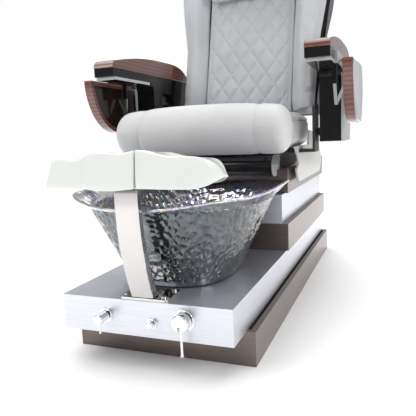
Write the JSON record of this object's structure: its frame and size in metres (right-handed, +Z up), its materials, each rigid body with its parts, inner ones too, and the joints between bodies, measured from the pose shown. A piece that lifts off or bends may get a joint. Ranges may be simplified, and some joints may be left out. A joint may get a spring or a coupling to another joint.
{
  "type": "pedicure spa chair",
  "caption": "Pedicure spa chair: hammered glass foot basin on a stepped plinth, post footrest, front mixer taps, and a sliding, reclining padded seat with lift-up arms and drop-leaf side trays.",
  "frame": {"origin": "on the floor, at the middle of the plinth's underside", "axes": "+X to the side of the mixer tap, which is the sitter's left, +Y from the footrest towards the back, +Z up"},
  "size_m": [0.92, 1.4853, 1.4607],
  "materials": {
    "laminate_bronze": "metallic bronze laminate on plywood",
    "laminate_silver": "metallic silver laminate on plywood",
    "bare_board": "raw plywood",
    "bowl_glass": "hammered smoked mirror glass with an iridescent rim",
    "chrome": "polished",
    "stainless": "polished stainless",
    "steel_black": "black powder coat",
    "plastic_black": "gloss black",
    "plastic_white": "gloss white",
    "plastic_silver": "silver grey",
    "plastic_grey": "dark grey back shell",
    "skirt_grey": "warm light grey",
    "wood_veneer": "gloss lacquered reddish wood grain",
    "tray_dark": "gloss dark brown",
    "leather_seat": "warm light grey",
    "leather_back": "cool light grey",
    "motor": "satin black"
  },
  "bodies": {
    "base": {"plinth": "laminate_bronze", "base_board": "bare_board", "deck": "laminate_silver", "riser_lower": "laminate_bronze", "riser_middle": "laminate_silver", "riser_upper": "laminate_bronze", "service_panel": "plastic_black", "power_inlet": "plastic_black", "basin": "bowl_glass", "basin_drain": "chrome", "jet_motor": "motor", "jet_cover": "chrome", "footrest_base_plate": "stainless", "footrest_bolts": "stainless", "footrest_post": "stainless", "footrest_bracket": "stainless", "footrest_pad_left": "plastic_white", "footrest_pad_right": "plastic_white", "mixer_valve": "chrome", "diverter_valve": "chrome", "control_escutcheons": "chrome", "seat_rails": "steel_black", "slide_motor": "motor"},
    "stopper": {"drain_stopper": "chrome"},
    "drain_pull": {"drain_knob": "chrome"},
    "impeller": {"jet_impeller": "plastic_white"},
    "diverter": {"diverter_knob": "chrome"},
    "mixer_head": {"mixer_cap": "chrome"},
    "mixer_handle": {"mixer_lever": "chrome"},
    "seat": {"seat_frame": "steel_black", "under_seat_cover": "plastic_black", "seat_cushion": "leather_seat", "seat_roll": "leather_seat", "skirt_left": "skirt_grey", "skirt_right": "skirt_grey", "arm_brackets": "steel_black", "recline_motor": "motor"},
    "back": {"back_frame": "steel_black", "back_shell": "plastic_grey", "back_cushion": "leather_back", "back_bolsters": "leather_back", "head_pillow": "leather_back"},
    "carriage": {"massage_carriage": "steel_black"},
    "rollers": {"massage_rollers": "plastic_white"},
    "arm_left": {"arm_frame_left": "plastic_black", "arm_cap_left": "wood_veneer", "arm_shell_left": "plastic_silver"},
    "tray_left": {"tray_rim_left": "wood_veneer", "tray_panel_left": "tray_dark", "tray_shell_left": "plastic_silver"},
    "stay_upper_left": {"tray_stay_upper_left": "chrome"},
    "stay_lower_left": {"tray_stay_lower_left": "chrome"},
    "arm_right": {"arm_frame_right": "plastic_black", "arm_cap_right": "wood_veneer", "arm_shell_right": "plastic_silver"},
    "tray_right": {"tray_rim_right": "wood_veneer", "tray_panel_right": "tray_dark", "tray_shell_right": "plastic_silver"},
    "stay_upper_right": {"tray_stay_upper_right": "chrome"},
    "stay_lower_right": {"tray_stay_lower_right": "chrome"}
  },
  "joints": [
    {"name": "seat_slide", "type": "slide", "parent": "base", "child": "seat", "axis": [0, 1, 0], "range_m": [-0.05, 0.1]},
    {"name": "back_recline", "type": "hinge", "parent": "seat", "child": "back", "pos_m": [0, 0.209, 0.59], "axis": [-1, 0, 0], "range_deg": [0, 32]},
    {"name": "massage_travel", "type": "slide", "parent": "back", "child": "carriage", "axis": [0, 0.2588, 0.9659], "range_m": [0, 0.38]},
    {"name": "roller_spin", "type": "hinge", "parent": "carriage", "child": "rollers", "pos_m": [0, 0.28646, 0.75042], "axis": [1, 0, 0], "continuous": true},
    {"name": "jet_spin", "type": "hinge", "parent": "base", "child": "impeller", "pos_m": [0, -0.546, 0.19], "axis": [0, 0, 1], "continuous": true},
    {"name": "drain_pull_slide", "type": "slide", "parent": "base", "child": "drain_pull", "axis": [0, -1, 0], "range_m": [0, 0.009]},
    {"name": "stopper_lift", "type": "slide", "parent": "base", "child": "stopper", "axis": [0, 0, 1], "range_m": [0, 0.009]},
    {"name": "diverter_turn", "type": "hinge", "parent": "base", "child": "diverter", "pos_m": [-0.1, -0.771, 0.138], "axis": [0, 1, 0], "range_deg": [-90, 90]},
    {"name": "mixer_turn", "type": "hinge", "parent": "base", "child": "mixer_head", "pos_m": [0.112, -0.761, 0.146], "axis": [0, 1, 0], "range_deg": [-60, 60]},
    {"name": "mixer_lift", "type": "hinge", "parent": "mixer_head", "child": "mixer_handle", "pos_m": [0.112, -0.777, 0.133], "axis": [-1, 0, 0], "range_deg": [0, 25]},
    {"name": "arm_lift_left", "type": "hinge", "parent": "seat", "child": "arm_left", "pos_m": [-0.3515, 0.024, 0.565], "axis": [-1, 0, 0], "range_deg": [0, 55]},
    {"name": "tray_fold_left", "type": "hinge", "parent": "arm_left", "child": "tray_left", "pos_m": [-0.408, -0.091, 0.775], "axis": [0, 1, 0], "range_deg": [0, 90]},
    {"name": "stay_upper_turn_left", "type": "hinge", "parent": "arm_left", "child": "stay_upper_left", "pos_m": [-0.378, -0.113, 0.722], "axis": [0, 1, 0], "range_deg": [0, 82]},
    {"name": "stay_lower_turn_left", "type": "hinge", "parent": "tray_left", "child": "stay_lower_left", "pos_m": [-0.411, -0.106, 0.712], "axis": [0, 1, 0], "range_deg": [-86, 0]},
    {"name": "arm_lift_right", "type": "hinge", "parent": "seat", "child": "arm_right", "pos_m": [0.3515, 0.024, 0.565], "axis": [-1, 0, 0], "range_deg": [0, 55]},
    {"name": "tray_fold_right", "type": "hinge", "parent": "arm_right", "child": "tray_right", "pos_m": [0.408, -0.091, 0.775], "axis": [0, -1, 0], "range_deg": [0, 90]},
    {"name": "stay_upper_turn_right", "type": "hinge", "parent": "arm_right", "child": "stay_upper_right", "pos_m": [0.378, -0.113, 0.722], "axis": [0, -1, 0], "range_deg": [0, 82]},
    {"name": "stay_lower_turn_right", "type": "hinge", "parent": "tray_right", "child": "stay_lower_right", "pos_m": [0.411, -0.106, 0.712], "axis": [0, -1, 0], "range_deg": [-86, 0]}
  ],
  "couplings": [
    {"joint": "stopper_lift", "follows": "drain_pull_slide", "ratio": 1},
    {"joint": "stay_upper_turn_left", "follows": "tray_fold_left", "ratio": 0.90099},
    {"joint": "stay_lower_turn_left", "follows": "tray_fold_left", "ratio": -0.95123},
    {"joint": "stay_upper_turn_right", "follows": "tray_fold_right", "ratio": 0.90099},
    {"joint": "stay_lower_turn_right", "follows": "tray_fold_right", "ratio": -0.95123}
  ]
}
